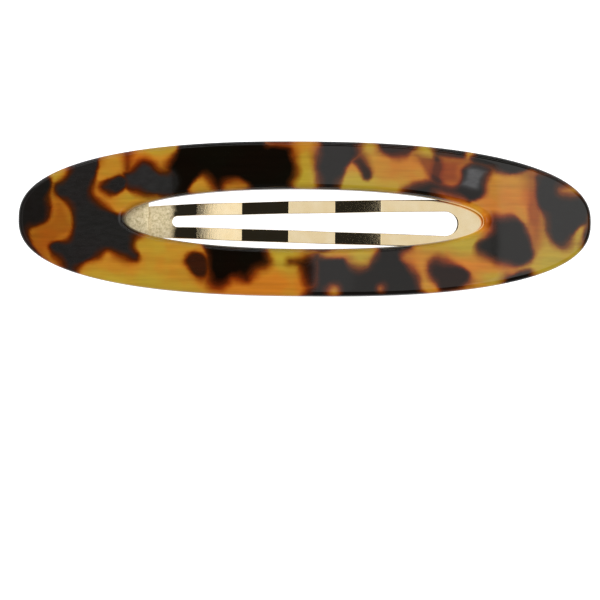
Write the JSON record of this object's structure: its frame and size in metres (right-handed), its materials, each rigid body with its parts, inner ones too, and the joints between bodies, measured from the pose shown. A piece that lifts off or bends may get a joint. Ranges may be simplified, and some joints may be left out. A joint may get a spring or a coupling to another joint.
{
  "type": "barrette",
  "caption": "Oval tortoiseshell acetate ring bowed lengthwise, glued over a gold snap clip with a slotted, crimped tongue that pops open.",
  "frame": {"origin": "middle of the plane that the cover's two bowed ends rest on, below the centre of the oval", "axes": "+X along the length from the clip's nose to its heel, +Y across, +Z out of the decorated front"},
  "size_m": [0.08, 0.0216, 0.0065],
  "materials": {
    "acetate": "polished cellulose acetate, amber with blurred black and reddish-brown tortoiseshell patches",
    "gold_steel": "thin spring steel with a bright champagne gold plating",
    "adhesive": "cured clear-to-cream adhesive"
  },
  "bodies": {
    "holder": {"cover": "acetate", "clip_frame": "gold_steel", "eyelet": "gold_steel", "adhesive_nose": "adhesive", "adhesive_heel": "adhesive", "adhesive_leg_rear": "adhesive", "adhesive_leg_front": "adhesive"},
    "tongue": {"clip_tongue": "gold_steel"}
  },
  "joints": [
    {"name": "tongue_snap", "type": "hinge", "parent": "holder", "child": "tongue", "pos_m": [0.026, -0.0003, 0.00158], "axis": [0, -1, 0], "range_deg": [0, 28]}
  ]
}
